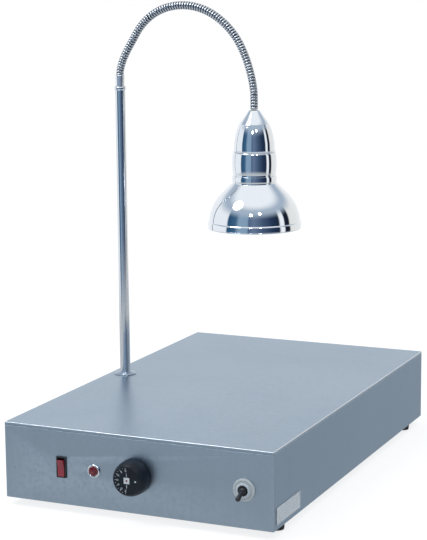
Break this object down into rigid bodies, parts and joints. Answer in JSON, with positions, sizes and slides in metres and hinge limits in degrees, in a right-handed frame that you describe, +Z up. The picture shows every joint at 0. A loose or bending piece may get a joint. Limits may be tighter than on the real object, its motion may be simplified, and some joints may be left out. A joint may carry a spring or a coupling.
{
  "type": "heat lamp warmer",
  "caption": "Heated steel carving base with a thermostat, switches and a gooseneck infrared lamp on a chromed post over its hot top.",
  "frame": {"origin": "middle of the whole object's footprint, on the surface that the feet stand on", "axes": "+X to the right along the short front with the controls, +Y from the front to the back, +Z up"},
  "size_m": [0.4108, 0.6975, 0.7019],
  "materials": {
    "brushed_steel": "fine brushed stainless sheet",
    "plain_steel": "plain zinc-plated steel",
    "chrome": "polished chrome plate",
    "plate_aluminium": "satin aluminium label plate, blank",
    "foot_rubber": "black moulded rubber",
    "black_plastic": "black moulded plastic",
    "knob_plastic": "black phenolic with a soft gloss",
    "red_plastic": "translucent red plastic",
    "red_lens": "dark red lens",
    "pale_plastic": "pale grey moulded plastic",
    "silicone_mat": "red-brown silicone rubber heating mat",
    "fibre_board": "light ceramic-fibre insulation board",
    "ceramic": "white steatite ceramic",
    "copper": "copper",
    "brass": "brass screw cap",
    "lead_sheath": "glass-fibre sleeved lead",
    "bulb_glass": "frosted reflector glass"
  },
  "bodies": {
    "cabinet": {"top_panel": "brushed_steel", "front_panel": "brushed_steel", "left_panel": "brushed_steel", "right_panel": "brushed_steel", "rear_panel": "brushed_steel", "bottom_cover": "plain_steel", "rating_plate": "plate_aluminium", "foot_front_left": "foot_rubber", "foot_front_right": "foot_rubber", "foot_rear_left": "foot_rubber", "foot_rear_right": "foot_rubber", "foot_screw_front_left": "plain_steel", "foot_screw_front_right": "plain_steel", "foot_screw_rear_left": "plain_steel", "foot_screw_rear_right": "plain_steel", "cover_screw_front_left": "plain_steel", "cover_screw_front_right": "plain_steel", "cover_screw_rear_left": "plain_steel", "cover_screw_rear_right": "plain_steel", "heating_mat": "silicone_mat", "insulation_board": "fibre_board", "support_bar_front": "plain_steel", "support_bar_rear": "plain_steel", "sensor_bulb": "copper", "capillary_tube": "copper", "rocker_housing": "black_plastic", "pilot_bezel": "chrome", "pilot_lens": "red_lens", "thermostat_body": "ceramic", "toggle_body": "black_plastic", "toggle_collar": "pale_plastic", "toggle_nut": "chrome", "cable_gland": "black_plastic", "gland_nut": "black_plastic", "terminal_block": "ceramic", "control_harness": "lead_sheath", "heater_lead": "lead_sheath", "lamp_lead": "lead_sheath", "post_tube": "chrome", "post_flange": "chrome", "post_nut": "plain_steel", "post_collar": "chrome", "upper_ferrule": "chrome"},
    "rocker": {"rocker_button": "red_plastic"},
    "dial": {"thermostat_shaft": "plain_steel", "thermostat_knob": "knob_plastic"},
    "lever": {"toggle_lever": "knob_plastic"},
    "neck_1": {"gooseneck_1": "chrome"},
    "neck_2": {"gooseneck_2": "chrome"},
    "neck_3": {"gooseneck_3": "chrome"},
    "neck_4": {"gooseneck_4": "chrome"},
    "neck_5": {"gooseneck_5": "chrome"},
    "lamp": {"lamp_ferrule": "chrome", "lamp_cap": "chrome", "lamp_shade": "chrome", "lampholder": "ceramic", "bulb_base": "brass", "bulb_glass": "bulb_glass"}
  },
  "joints": [
    {"name": "rocker_tilt", "type": "hinge", "parent": "cabinet", "child": "rocker", "pos_m": [-0.1144, -0.32067, 0.066], "axis": [1, 0, 0], "range_deg": [-16, 0]},
    {"name": "dial_turn", "type": "hinge", "parent": "cabinet", "child": "dial", "pos_m": [-0.0004, -0.32367, 0.066], "axis": [0, 1, 0], "range_deg": [0, 270]},
    {"name": "lever_throw", "type": "hinge", "parent": "cabinet", "child": "lever", "pos_m": [0.1626, -0.32862, 0.066], "axis": [1, 0, 0], "range_deg": [-42, 0]},
    {"name": "neck_lean", "type": "hinge", "parent": "cabinet", "child": "neck_1", "pos_m": [-0.1804, 0.00133, 0.588], "axis": [0, 1, 0], "range_deg": [-20, 6]},
    {"name": "neck_low_swing", "type": "hinge", "parent": "neck_1", "child": "neck_2", "pos_m": [-0.15159, 0.00133, 0.6527], "axis": [0.8572, 0, -0.515], "range_deg": [-20, 20]},
    {"name": "neck_arch", "type": "hinge", "parent": "neck_2", "child": "neck_3", "pos_m": [-0.09568, 0.00133, 0.69332], "axis": [0, 1, 0], "range_deg": [-20, 8]},
    {"name": "neck_high_swing", "type": "hinge", "parent": "neck_3", "child": "neck_4", "pos_m": [-0.02678, 0.00133, 0.68425], "axis": [0.4695, 0, 0.8829], "range_deg": [-20, 20]},
    {"name": "neck_drop", "type": "hinge", "parent": "neck_4", "child": "neck_5", "pos_m": [0.02221, 0.00133, 0.63439], "axis": [0, 1, 0], "range_deg": [-20, 8]},
    {"name": "lamp_swing", "type": "hinge", "parent": "neck_5", "child": "lamp", "pos_m": [0.04226, 0.00133, 0.5667], "axis": [1, 0, 0], "range_deg": [-20, 20]}
  ]
}
